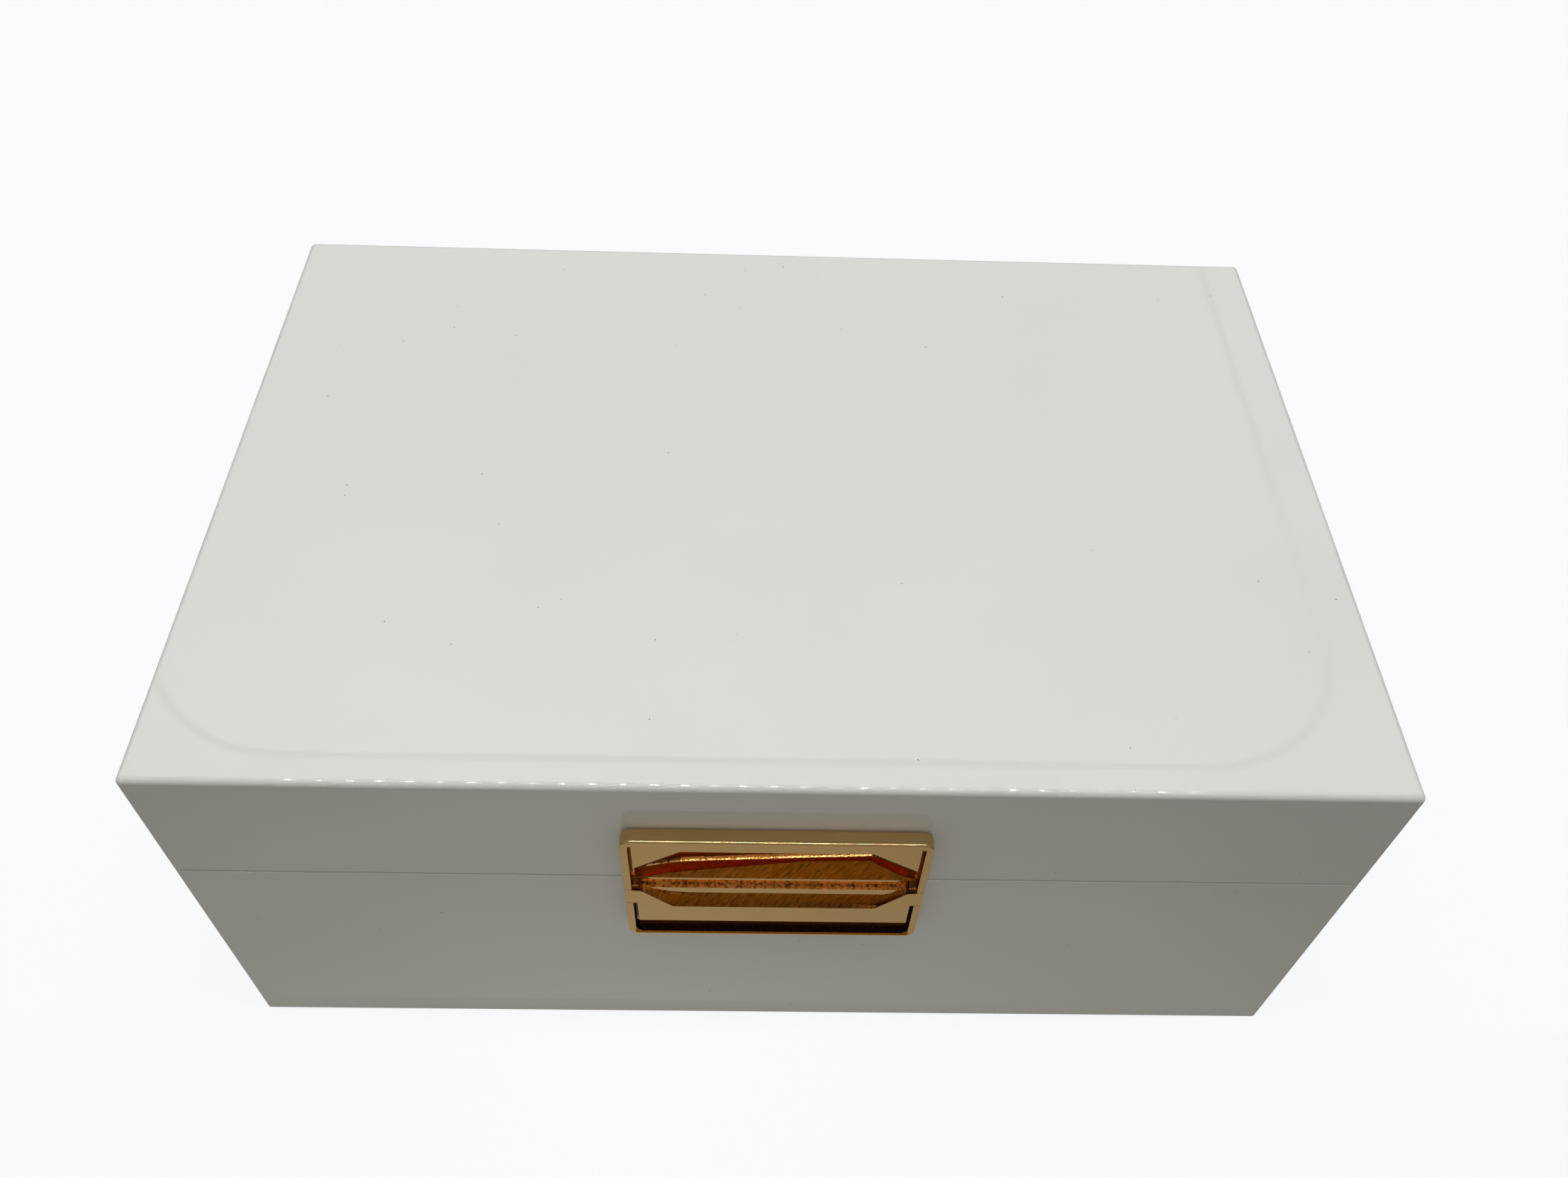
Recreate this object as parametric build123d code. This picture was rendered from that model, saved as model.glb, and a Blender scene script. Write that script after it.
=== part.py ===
"""Jewellery box with a hinged lid, a gilt pull clasp and a lift-out tray.

Millimetres. The origin is on the table, under the middle of the box. +Z is up, the front looks
towards -Y and +X is to the right of someone facing the front.
"""

from build123d import *
import os

# The box as a whole
WIDTH = 240.0
DEPTH = 160.0
HEIGHT = 105.0
SEAM = 71.0
SEAM_GAP = 0.3

# Lacquered board
BASE_WALL = 9.0
LID_WALL = 8.5
LID_TOP = 8.0
UPRIGHT_EDGE_R = 1.0
LID_TOP_EDGE_R = 1.2
SEAM_EDGE_R = 0.35
FOOT_PAD = 1.0
BOTTOM_BOARD = 4.0
BOTTOM_REBATE = 2.0

# Flocked lining
LINING = 1.5
LINING_LIP = 3.0
LID_LINING = 1.0
MIRROR = (190.0, 110.0, 2.0)
MIRROR_LAP = 5.0
MIRROR_FRAME = 4.5
WELL_DIVIDER_TOP = 36.0
DIVIDER = 3.0
DIVIDER_EDGE_R = 0.8
LEDGE = (5.0, 120.0, 3.0)

# Lift-out tray
TRAY_Z = 43.5
TRAY_HEIGHT = 27.0
TRAY_PLAY = 1.2
TRAY_WALL = 3.0
TRAY_FLOOR = 2.0
TRAY_DIVIDER_HEIGHT = 21.0
ROLL_AREA = 97.7
ROLL_COUNT = 6
ROLL_GAP = 1.0
ROLL_HEIGHT = 19.5
RIBBON = (15.0, 0.6, 12.0)

# Hinges on the back
HINGE_X = 70.0
LEAF = (30.0, 7.0, 1.0)
BARREL_R = 2.0
BARREL_OUT = 2.2
PIN_R = 0.9
RUNNING = 0.05
KNUCKLES = 5
KNUCKLE_PLAY = 0.1
HEEL_LENGTH = 5.6
HEEL_DROP = 1.6
SCREW_HEAD_R = 1.8
SCREW_R = 0.9
SCREW_LENGTH = 8.0
SCREW_SLOT = (0.5, 0.4)

# Catch magnets in the front rims
MAGNET_X = 60.0
MAGNET_R = 4.0
MAGNET_DEEP = 3.0

# Clasp: a frame on the lid that hangs over the seam, with a pull tab in its lower half.
# Heights are counted from the clasp's middle, depths from its front face.
CLASP_MIDDLE = 71.6
CLASP_WIDTH = 60.0
CLASP_HEIGHT = 39.6
CLASP_THICK = 3.0
CLASP_STAND_OFF = 0.5
CLASP_CORNER_R = 2.2
CLASP_EDGE_R = 0.35
BOSS_X = 28.0
BOSS_Z = (0.4, 17.8)
BAR_INNER_X = 28.5
PLATE_X = 27.7
GROOVE_DEEP = 2.0
GROOVE_Z = (3.4, 17.9)
LIP_DEEP = 1.8
LIP_Z = (0.56, 2.26)
# The hollow in the upper plate, as sections across it: where it stands along X, the height of its
# rim, the height of the ridge that runs across it, and the height and depth of the crease below.
HOLLOW = [
    (-28.5, 8.8, 6.6, 2.4, 1.85),
    (-25.0, 11.43, 8.7, 2.6, 1.9),
    (-18.5, 16.3, 10.85, 4.0, 2.3),
    (-6.0, 16.3, 12.0, 6.5, 2.3),
    (6.0, 16.3, 13.05, 8.8, 2.3),
    (18.5, 16.3, 13.95, 9.3, 2.3),
    (25.0, 11.43, 9.5, 3.6, 2.2),
    (28.5, 8.8, 7.0, 2.4, 1.85),
]
RIDGE_DEEP = (0.9, 1.7)
RIDGE_RISE = 0.22
WINDOW_Z = -18.2
BAR_FLANGE = 0.8
BAR_FLOOR_Z = -19.0
GUSSET = 1.3
TAB_BACK = 2.2
TAB_TOP_Z = -0.2
TAB_LIP_Z = -2.2
TAB_LIP_DEEP = 0.9
TAB_CREASE_DEEP = 0.6
TAB_CREASE_Z = (-2.4, -6.5)
TAB_FACE_TOP_Z = -6.8
TAB_FACE_TOP_X = 20.5
TAB_FACE_Z = -13.15
TAB_BOTTOM_Z = -15.9
WING_TIP_Z = 1.6
WING_KNEE = (26.5, -0.4)
WING_BOTTOM_Z = -5.3
WING_THICK = 1.5
WING_PLAY = 0.15
PIVOT_Z = 0.0
PIVOT_DEEP = 1.0
KNUCKLE_R = 1.0
LUG_R = 0.7
PIVOT_PIN_R = 0.4
LUG_X = (27.0, 28.4)
LUG_WEB_Z = (0.0, 1.0)
STUD = (24.0, 13.9)
STUD_R = 1.25
NUT_ACROSS = 5.0
NUT_THICK = 2.4
NUT_POCKET_R = 3.2
PAD = (56.4, 17.0, 1.0)
PAD_Z = -9.9

FRONT = -DEPTH / 2
BACK = DEPTH / 2
BASE_TOP = SEAM - SEAM_GAP / 2
LID_BOTTOM = SEAM + SEAM_GAP / 2
FLOOR_Z = FOOT_PAD + BOTTOM_BOARD
LINING_Z = FLOOR_Z + LINING
WELL_X = WIDTH / 2 - BASE_WALL
WELL_Y = DEPTH / 2 - BASE_WALL
LINED_X = WELL_X - LINING
LINED_Y = WELL_Y - LINING
LID_X = WIDTH / 2 - LID_WALL
LID_Y = DEPTH / 2 - LID_WALL
LID_CEILING = HEIGHT - LID_TOP
TRAY_X = LINED_X - TRAY_PLAY
TRAY_Y = LINED_Y - TRAY_PLAY
TRAY_FLOOR_Z = TRAY_Z + TRAY_FLOOR
AXIS_Y = BACK + BARREL_OUT
CLASP_FRONT = FRONT - CLASP_THICK - CLASP_STAND_OFF

os.makedirs("parts", exist_ok=True)


def write(name, shape):
    """One STEP file per node."""
    solids = shape.solids()
    body = solids[0] if len(solids) == 1 else Compound(children=list(solids))
    export_step(body, f"parts/{name}.step")


def block(x, y, z):
    """A block between two corners, given as (low, high) along each axis."""
    size = [high - low for low, high in (x, y, z)]
    middle = [(high + low) / 2 for low, high in (x, y, z)]
    return Pos(*middle) * Box(*size)


def ring(outer, inner, z):
    """An upright rectangular tube; outer and inner are half sizes in X and Y."""
    tube = block((-outer[0], outer[0]), (-outer[1], outer[1]), z)
    return tube - block((-inner[0], inner[0]), (-inner[1], inner[1]), (z[0] - 1, z[1] + 1))


def bar_x(x, y, z, radius):
    """A round bar along X at (y, z)."""
    middle = Pos((x[0] + x[1]) / 2, y, z)
    return middle * Rot(0, 90, 0) * Cylinder(radius, x[1] - x[0])


def both_sides(shape):
    """The shape and its mirror image across the middle of the box."""
    return shape + mirror(shape, Plane.YZ)


def edges_at(shape, axis, place):
    """The edges that lie in one plane across an axis."""
    return shape.edges().filter_by_position(axis, place - 0.01, place + 0.01)


# Screws, shared by both halves of the hinges

def screw_points():
    """Where a hinge leaf's screws stand, as (x, y)."""
    y = BACK - LEAF[1] / 2
    return [(side * HINGE_X + step, y) for side in (-1, 1) for step in (-9.0, 9.0)]


def screw(x, y, z, up):
    """A countersunk slotted screw, its head flush at z and its shank going down or up."""
    head = Cone(SCREW_R, SCREW_HEAD_R, LEAF[2], align=(Align.CENTER, Align.CENTER, Align.MAX))
    shank = Cylinder(SCREW_R, SCREW_LENGTH, align=(Align.CENTER, Align.CENTER, Align.MAX))
    body = head + Pos(0, 0, -LEAF[2]) * shank
    if up:
        body = Rot(180, 0, 0) * body
    return Pos(x, y, z) * body


def slotted(x, y, z, up):
    """The screw with the driver slot cut across its head."""
    width, deep = SCREW_SLOT
    slot_z = (z, z + deep) if up else (z - deep, z)
    slot = block((x - SCREW_HEAD_R, x + SCREW_HEAD_R), (y - width / 2, y + width / 2), slot_z)
    return screw(x, y, z, up) - slot


def screws(z, up, make):
    """All four screws of one half of the hinges."""
    return Part() + [make(x, y, z, up) for x, y in screw_points()]


# Hinges

def knuckles(owner):
    """X ranges of the knuckles that belong to the base (0) or the lid (1), on the right hinge."""
    pitch = LEAF[0] / KNUCKLES
    start = HINGE_X - LEAF[0] / 2
    play = KNUCKLE_PLAY / 2
    return [
        (start + i * pitch + play, start + (i + 1) * pitch - play)
        for i in range(KNUCKLES)
        if i % 2 == owner
    ]


def mortise(z):
    """The sinking in the back rim that one pair of leaves lies in."""
    x = (HINGE_X - LEAF[0] / 2, HINGE_X + LEAF[0] / 2)
    return both_sides(block(x, (BACK - LEAF[1], BACK + 1), z))


def hinge_leaves(owner, z, bore, heel):
    """The two leaves of the base or the lid, each with its knuckles round the pin."""
    x = (HINGE_X - LEAF[0] / 2, HINGE_X + LEAF[0] / 2)
    leaf = block(x, (BACK - LEAF[1], BACK - KNUCKLE_PLAY), z)
    for span in knuckles(owner):
        leaf += block(span, (BACK - 1, AXIS_Y), z)
        leaf += bar_x(span, AXIS_Y, SEAM, BARREL_R)
        if heel:
            heel_z = (SEAM - HEEL_DROP, SEAM - HEEL_DROP + LEAF[2])
            leaf += block(span, (AXIS_Y, AXIS_Y + HEEL_LENGTH), heel_z)
    leaf -= bar_x((x[0] - 1, x[1] + 1), AXIS_Y, SEAM, bore)
    return both_sides(leaf)


def hinges():
    base_z = (BASE_TOP - LEAF[2], BASE_TOP)
    lid_z = (LID_BOTTOM, LID_BOTTOM + LEAF[2])
    base = hinge_leaves(0, base_z, PIN_R, heel=False) - screws(BASE_TOP, False, screw)
    lid = hinge_leaves(1, lid_z, PIN_R + RUNNING, heel=True) - screws(LID_BOTTOM, True, screw)
    write("hinge_base_leaves", base)
    write("hinge_lid_leaves", lid)
    write("hinge_base_screws", screws(BASE_TOP, False, slotted))
    write("hinge_lid_screws", screws(LID_BOTTOM, True, slotted))
    x = (HINGE_X - LEAF[0] / 2, HINGE_X + LEAF[0] / 2)
    write("hinge_pins", both_sides(bar_x(x, AXIS_Y, SEAM, PIN_R)))


# Base

def magnets(z):
    disc = Cylinder(MAGNET_R, MAGNET_DEEP, align=(Align.CENTER, Align.CENTER, Align.MIN))
    return both_sides(Pos(MAGNET_X, FRONT + BASE_WALL / 2, z) * disc)


def base():
    shell = block((-WIDTH / 2, WIDTH / 2), (FRONT, BACK), (FOOT_PAD, BASE_TOP))
    shell = fillet(shell.edges().filter_by(Axis.Z), UPRIGHT_EDGE_R)
    shell = fillet(edges_at(shell, Axis.Z, BASE_TOP), SEAM_EDGE_R)
    shell = fillet(edges_at(shell, Axis.Z, FOOT_PAD), SEAM_EDGE_R)
    shell -= block((-WELL_X, WELL_X), (-WELL_Y, WELL_Y), (0, HEIGHT))
    board_x = WELL_X + BOTTOM_REBATE
    board_y = WELL_Y + BOTTOM_REBATE
    board = block((-board_x, board_x), (-board_y, board_y), (FOOT_PAD, FLOOR_Z))
    shell -= board
    shell -= mortise((BASE_TOP - LEAF[2], BASE_TOP + 1))
    shell -= screws(BASE_TOP, False, screw)
    shell -= magnets(BASE_TOP - MAGNET_DEEP)
    write("base_shell", shell)
    write("base_bottom", board)
    write("base_magnets", magnets(BASE_TOP - MAGNET_DEEP))
    pad_x = WIDTH / 2 - 1.5
    pad_y = DEPTH / 2 - 1.5
    write("base_foot_pad", block((-pad_x, pad_x), (-pad_y, pad_y), (0, FOOT_PAD)))


def base_lining():
    write("base_lining_floor", block((-WELL_X, WELL_X), (-WELL_Y, WELL_Y), (FLOOR_Z, LINING_Z)))
    top = SEAM + LINING_LIP
    sides = ring((WELL_X, WELL_Y), (LINED_X, LINED_Y), (LINING_Z, top))
    sides = fillet(edges_at(sides, Axis.Z, top), LINING / 3)
    write("base_lining_sides", sides)
    ledge_x = (LINED_X - LEDGE[0], LINED_X)
    ledge_z = (TRAY_Z - 0.1 - LEDGE[2], TRAY_Z - 0.1)
    ledge = block(ledge_x, (-LEDGE[1] / 2, LEDGE[1] / 2), ledge_z)
    write("tray_ledges", both_sides(ledge))


def well_dividers():
    y = (2.0, 2.0 + DIVIDER)
    long = block((-LINED_X, LINED_X), y, (LINING_Z, WELL_DIVIDER_TOP))
    cross = block((-DIVIDER / 2, DIVIDER / 2), (y[1], LINED_Y), (LINING_Z, WELL_DIVIDER_TOP))
    for name, board, across in (("long", long, Axis.X), ("cross", cross, Axis.Y)):
        top = edges_at(board, Axis.Z, WELL_DIVIDER_TOP).filter_by(across)
        write(f"well_divider_{name}", fillet(top, DIVIDER_EDGE_R))


def clasp_rest_pad():
    """Felt on the base's front, behind the pull tab, to save the lacquer."""
    z = (CLASP_MIDDLE + PAD_Z - PAD[1] / 2, CLASP_MIDDLE + PAD_Z + PAD[1] / 2)
    write("clasp_rest_pad", block((-PAD[0] / 2, PAD[0] / 2), (FRONT - PAD[2], FRONT), z))


# Lid

def on_clasp(deep):
    """A drawing plane at a depth behind the clasp's face, on its middle, facing the front."""
    return Plane(origin=(0, CLASP_FRONT + deep, CLASP_MIDDLE), x_dir=(1, 0, 0), z_dir=(0, -1, 0))


def stud_bar(radius, y):
    """Bars along Y at the two studs."""
    length = y[1] - y[0]
    bar = Rot(90, 0, 0) * Cylinder(radius, length)
    return both_sides(Pos(STUD[0], (y[0] + y[1]) / 2, CLASP_MIDDLE + STUD[1]) * bar)


def lid():
    shell = block((-WIDTH / 2, WIDTH / 2), (FRONT, BACK), (LID_BOTTOM, HEIGHT))
    shell = fillet(shell.edges().filter_by(Axis.Z), UPRIGHT_EDGE_R)
    shell = fillet(edges_at(shell, Axis.Z, HEIGHT), LID_TOP_EDGE_R)
    shell = fillet(edges_at(shell, Axis.Z, LID_BOTTOM), SEAM_EDGE_R)
    shell -= block((-LID_X, LID_X), (-LID_Y, LID_Y), (0, LID_CEILING))
    shell -= mortise((LID_BOTTOM - 1, LID_BOTTOM + LEAF[2]))
    shell -= screws(LID_BOTTOM, True, screw)
    shell -= magnets(LID_BOTTOM)
    shell -= stud_bar(STUD_R, (FRONT - 1, -LID_Y + 1))
    shell -= stud_bar(NUT_POCKET_R, (-LID_Y - NUT_THICK - 0.6, -LID_Y + 1))
    write("lid_shell", shell)
    write("lid_magnets", magnets(LID_BOTTOM))


def lid_lining():
    low = SEAM + LINING_LIP + 0.8
    frame_z = (LID_CEILING - MIRROR_FRAME, LID_CEILING)
    inner = (LID_X - LID_LINING, LID_Y - LID_LINING)
    write("lid_lining", ring((LID_X, LID_Y), inner, (low, frame_z[0])))
    glass = (MIRROR[0] / 2, MIRROR[1] / 2)
    sight = (glass[0] - MIRROR_LAP, glass[1] - MIRROR_LAP)
    mirror_z = (LID_CEILING - MIRROR[2], LID_CEILING)
    mirror_glass = block((-glass[0], glass[0]), (-glass[1], glass[1]), mirror_z)
    frame = ring((LID_X, LID_Y), sight, frame_z) - mirror_glass
    sight_edges = edges_at(frame, Axis.Z, frame_z[0])
    sight_edges = sight_edges.filter_by_position(Axis.X, -glass[0], glass[0])
    sight_edges = sight_edges.filter_by_position(Axis.Y, -glass[1], glass[1])
    write("lid_mirror_frame", fillet(sight_edges, DIVIDER_EDGE_R))
    write("lid_mirror", mirror_glass)


# Clasp

def outline(points):
    """A face through points (x, z) and their mirror images, on the XY plane."""
    right = [(x, z) for x, z in points]
    left = [(-x, z) for x, z in reversed(points)]
    return make_face(Polyline(*right, *left, close=True).edges())


def clasp_prism(points, deep, thick):
    """A prism with a mirrored outline, from a depth towards the back."""
    return extrude(on_clasp(deep) * outline(points), -thick)


def across_clasp(x):
    """A drawing plane across the clasp at x, for a section in (depth, z)."""
    return Plane(origin=(x, CLASP_FRONT, CLASP_MIDDLE), x_dir=(0, 1, 0), z_dir=(1, 0, 0))


def pivot_bar(x, radius):
    """A round bar on the tab's pivot, on both sides."""
    return both_sides(bar_x(x, CLASP_FRONT + PIVOT_DEEP, CLASP_MIDDLE + PIVOT_Z, radius))


def hollow():
    """The hollow in the upper plate: an arched rim, a ridge that runs across it and a floor."""
    near, far = RIDGE_DEEP
    sections = []
    for x, rim, ridge, crease, crease_deep in HOLLOW:
        section = Polyline(
            (-1, LIP_Z[1]),
            (LIP_DEEP, LIP_Z[1]),
            (crease_deep, crease),
            (near, ridge),
            (far, ridge + RIDGE_RISE),
            (0, rim),
            (-1, rim),
            close=True,
        )
        sections.append(across_clasp(x) * make_face(section.edges()))
    return loft(sections, ruled=True)


def clasp_frame():
    slab = extrude(on_clasp(0) * RectangleRounded(CLASP_WIDTH, CLASP_HEIGHT, CLASP_CORNER_R), -CLASP_THICK)
    front_and_back = edges_at(slab, Axis.Y, CLASP_FRONT) + edges_at(slab, Axis.Y, CLASP_FRONT + CLASP_THICK)
    frame = fillet(front_and_back, CLASP_EDGE_R)
    boss_z = (CLASP_MIDDLE + BOSS_Z[0], CLASP_MIDDLE + BOSS_Z[1])
    frame += block((-BOSS_X, BOSS_X), (FRONT - CLASP_STAND_OFF, FRONT), boss_z)
    frame -= hollow()

    groove = [(PLATE_X, GROOVE_Z[0]), (BAR_INNER_X, GROOVE_Z[0])]
    groove += [(BAR_INNER_X, GROOVE_Z[1]), (PLATE_X, GROOVE_Z[1])]
    groove_face = make_face(Polyline(*groove, close=True).edges())
    frame -= both_sides(extrude(on_clasp(-1) * groove_face, -GROOVE_DEEP - 1))

    window = [(BAR_INNER_X - GUSSET, WINDOW_Z), (BAR_INNER_X, WINDOW_Z + GUSSET)]
    window += [(BAR_INNER_X, LIP_Z[0])]
    frame -= clasp_prism(window, -1, CLASP_THICK + 2)
    inside = [(BAR_INNER_X, BAR_FLOOR_Z), (BAR_INNER_X, LIP_Z[0])]
    frame -= clasp_prism(inside, BAR_FLANGE, CLASP_THICK)
    before_lip = [(BAR_INNER_X, LIP_Z[0]), (BAR_INNER_X, LIP_Z[1])]
    frame -= clasp_prism(before_lip, -1, LIP_DEEP + 1)

    seat_x = (BAR_INNER_X - 0.1, CLASP_WIDTH / 2 + 1)
    seat_y = (CLASP_FRONT - 1, CLASP_FRONT + WING_THICK + WING_PLAY)
    seat_z = (CLASP_MIDDLE + WING_BOTTOM_Z - WING_PLAY, CLASP_MIDDLE + PIVOT_Z)
    frame -= both_sides(block(seat_x, seat_y, seat_z))
    frame -= pivot_bar(seat_x, KNUCKLE_R + WING_PLAY)

    web_y = (CLASP_FRONT + PIVOT_DEEP, CLASP_FRONT + CLASP_THICK)
    web_z = (CLASP_MIDDLE + LUG_WEB_Z[0], CLASP_MIDDLE + LUG_WEB_Z[1])
    frame += both_sides(block(LUG_X, web_y, web_z)) + pivot_bar(LUG_X, LUG_R)
    frame -= pivot_bar(LUG_X, PIVOT_PIN_R)
    frame += stud_bar(STUD_R, (FRONT - CLASP_STAND_OFF, -LID_Y - 0.5))
    write("clasp_frame", frame)
    write("clasp_pins", pivot_bar((LUG_X[0], CLASP_WIDTH / 2 - 0.1), PIVOT_PIN_R))


def clasp_nuts():
    nut = extrude(RegularPolygon(NUT_ACROSS / 2, 6, major_radius=False), NUT_THICK)
    nut -= Pos(0, 0, NUT_THICK / 2) * Cylinder(STUD_R, NUT_THICK)
    nut = Rot(90, 0, 0) * nut
    write("clasp_nuts", both_sides(Pos(STUD[0], -LID_Y - 0.2, CLASP_MIDDLE + STUD[1]) * nut))


def clasp_tab():
    """The pull tab: a plate with two wings that turn on pins at the frame's sides."""
    section = Polyline(
        (TAB_BACK, TAB_TOP_Z),
        (0, TAB_TOP_Z),
        (0, TAB_FACE_Z),
        (0.9, TAB_FACE_Z - 0.15),
        (0.35, TAB_BOTTOM_Z + 0.3),
        (0.6, TAB_BOTTOM_Z),
        (TAB_BACK, TAB_BOTTOM_Z),
        close=True,
    )
    half = PLATE_X - 0.05
    plate = extrude(across_clasp(-half) * make_face(section.edges()), 2 * half)
    wing_end = CLASP_WIDTH / 2 - 0.1
    wing_inner = BAR_INNER_X + 0.05
    wing_root = PLATE_X - 3
    wing = [(wing_end, WING_BOTTOM_Z), (wing_end, PIVOT_Z), (wing_inner, PIVOT_Z)]
    wing += [(WING_KNEE[0], TAB_TOP_Z), (wing_root, TAB_TOP_Z), (wing_root, WING_BOTTOM_Z)]
    wing_face = make_face(Polyline(*wing, close=True).edges())
    tab = plate + both_sides(extrude(on_clasp(0) * wing_face, -WING_THICK))
    knuckle = (wing_inner, wing_end)
    tab += pivot_bar(knuckle, KNUCKLE_R)

    # The hollow below the tab's lip: three outlines, each deeper than the last. Its crease slants.
    knee_x, knee_z = WING_KNEE
    left_z, right_z = TAB_CREASE_Z
    rims = [
        (-0.001, 30.5, (knee_x, knee_z), TAB_FACE_TOP_X, (TAB_FACE_TOP_Z, TAB_FACE_TOP_Z)),
        (TAB_CREASE_DEEP, 29.6, (knee_x + 0.2, knee_z + 0.2), TAB_FACE_TOP_X + 0.6, (left_z, right_z)),
        (TAB_LIP_DEEP, 29.4, (knee_x + 0.3, knee_z + 0.3), TAB_FACE_TOP_X + 1.5, (TAB_LIP_Z, TAB_LIP_Z)),
    ]
    faces = []
    for deep, tip_x, knee, floor_x, (floor_left, floor_right) in rims:
        right = [(floor_x, floor_right), knee, (tip_x, WING_TIP_Z)]
        left = [(-tip_x, WING_TIP_Z), (-knee[0], knee[1]), (-floor_x, floor_left)]
        faces.append(on_clasp(deep) * make_face(Polyline(*right, *left, close=True).edges()))
    tab -= loft(faces, ruled=True)
    tab -= pivot_bar((LUG_X[0] - 0.1, wing_inner), LUG_R + WING_PLAY)
    tab -= pivot_bar(knuckle, PIVOT_PIN_R + RUNNING)
    write("clasp_tab", tab)


# Tray

def tray_inner():
    return TRAY_X - TRAY_WALL, TRAY_Y - TRAY_WALL


def tray_shell():
    top = TRAY_Z + TRAY_HEIGHT
    inner_x, inner_y = tray_inner()
    tray = block((-TRAY_X, TRAY_X), (-TRAY_Y, TRAY_Y), (TRAY_Z, top))
    tray = fillet(tray.edges().filter_by(Axis.Z), 2.0)
    tray -= block((-inner_x, inner_x), (-inner_y, inner_y), (TRAY_FLOOR_Z, top + 1))
    tray = fillet(edges_at(tray, Axis.Z, top), DIVIDER_EDGE_R)
    write("tray_shell", tray)


def tray_dividers():
    inner_x, inner_y = tray_inner()
    top = TRAY_FLOOR_Z + TRAY_DIVIDER_HEIGHT
    z = (TRAY_FLOOR_Z, top)
    main_x = -inner_x + ROLL_AREA
    cross_y = 14.0
    split_x = (main_x + DIVIDER + inner_x) / 2
    boards = {
        "main": (block((main_x, main_x + DIVIDER), (-inner_y, inner_y), z), Axis.Y),
        "long": (block((main_x + DIVIDER, inner_x), (cross_y, cross_y + DIVIDER), z), Axis.X),
        "short": (block((split_x - 1.5, split_x + 1.5), (-inner_y, cross_y), z), Axis.Y),
    }
    for name, (board, along) in boards.items():
        edges = edges_at(board, Axis.Z, top).filter_by(along)
        write(f"tray_divider_{name}", fillet(edges, DIVIDER_EDGE_R))


def ring_rolls():
    inner_x, inner_y = tray_inner()
    pitch = 2 * inner_y / ROLL_COUNT
    width = pitch - ROLL_GAP
    half = width / 2
    low = TRAY_FLOOR_Z + 0.3
    shoulder = low + ROLL_HEIGHT - half
    for i in range(ROLL_COUNT):
        y = -inner_y + (i + 0.5) * pitch
        sides = Polyline((y - half, shoulder), (y - half, low), (y + half, low), (y + half, shoulder))
        crown = ThreePointArc((y + half, shoulder), (y, shoulder + half), (y - half, shoulder))
        section = make_face([*sides.edges(), *crown.edges()])
        plane = Plane(origin=(-inner_x + 0.5, 0, 0), x_dir=(0, 1, 0), z_dir=(1, 0, 0))
        write(f"ring_roll_{i + 1}", extrude(plane * section, ROLL_AREA - 1.0))


def tray_ribbons():
    """Two satin pulls, glued inside the tray's front and back walls and turned over the rim."""
    width, thick, tail = RIBBON
    inner_y = tray_inner()[1]
    top = TRAY_Z + TRAY_HEIGHT
    x = (20.0 - width / 2, 20.0 + width / 2)
    inside = block(x, (inner_y - thick, inner_y), (top - tail, top + thick))
    over = block(x, (inner_y - thick, TRAY_Y), (top, top + thick))
    ribbon = inside + over
    write("tray_ribbons", ribbon + mirror(ribbon, Plane.XZ))


base()
base_lining()
well_dividers()
clasp_rest_pad()
hinges()
lid()
lid_lining()
clasp_frame()
clasp_nuts()
clasp_tab()
tray_shell()
tray_dividers()
ring_rolls()
tray_ribbons()
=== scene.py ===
import math

import bmesh
import bpy
from mathutils import Matrix, Vector, noise


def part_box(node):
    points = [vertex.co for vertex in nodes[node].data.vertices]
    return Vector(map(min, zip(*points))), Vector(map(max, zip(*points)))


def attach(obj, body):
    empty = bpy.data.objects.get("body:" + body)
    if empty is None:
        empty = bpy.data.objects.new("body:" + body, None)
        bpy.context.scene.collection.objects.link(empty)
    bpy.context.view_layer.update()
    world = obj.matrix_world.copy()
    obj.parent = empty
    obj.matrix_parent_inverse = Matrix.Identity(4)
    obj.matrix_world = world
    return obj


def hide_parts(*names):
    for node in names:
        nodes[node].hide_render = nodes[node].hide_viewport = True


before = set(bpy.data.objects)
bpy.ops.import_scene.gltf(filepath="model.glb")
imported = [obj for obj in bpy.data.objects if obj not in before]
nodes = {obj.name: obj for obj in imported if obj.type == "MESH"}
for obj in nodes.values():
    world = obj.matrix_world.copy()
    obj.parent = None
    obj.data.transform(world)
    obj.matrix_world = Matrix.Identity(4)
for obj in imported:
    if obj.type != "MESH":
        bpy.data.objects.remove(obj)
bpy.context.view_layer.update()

MM = 0.001


# Base and lid shells: boards of MDF, mitred and glued into two trays that meet at the seam. Their
# corners are eased, and white polyester is sprayed over them, sanded and buffed to a gloss.

def linear(code):
    """An sRGB hex colour as linear RGBA."""
    parts = [int(code[i:i + 2], 16) / 255 for i in (1, 3, 5)]
    return [c / 12.92 if c <= 0.04045 else ((c + 0.055) / 1.055) ** 2.4 for c in parts] + [1.0]


def add(tree, kind, sockets=None, **settings):
    """Adds a node, sets its properties, then gives each socket a value or a link."""
    made = tree.nodes.new(kind)
    for name, value in settings.items():
        setattr(made, name, value)
    for key, value in (sockets or {}).items():
        if isinstance(value, bpy.types.NodeSocket):
            tree.links.new(value, made.inputs[key])
        else:
            made.inputs[key].default_value = value
    return made


def new_finish(name, **constants):
    """A material with one surface shader, whose constants are set. Gives material, tree, shader."""
    made = bpy.data.materials.new(name)
    made.use_nodes = True
    shader = made.node_tree.nodes["Principled BSDF"]
    for key, value in constants.items():
        shader.inputs[key.replace("_", " ")].default_value = value
    return made, made.node_tree, shader


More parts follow.
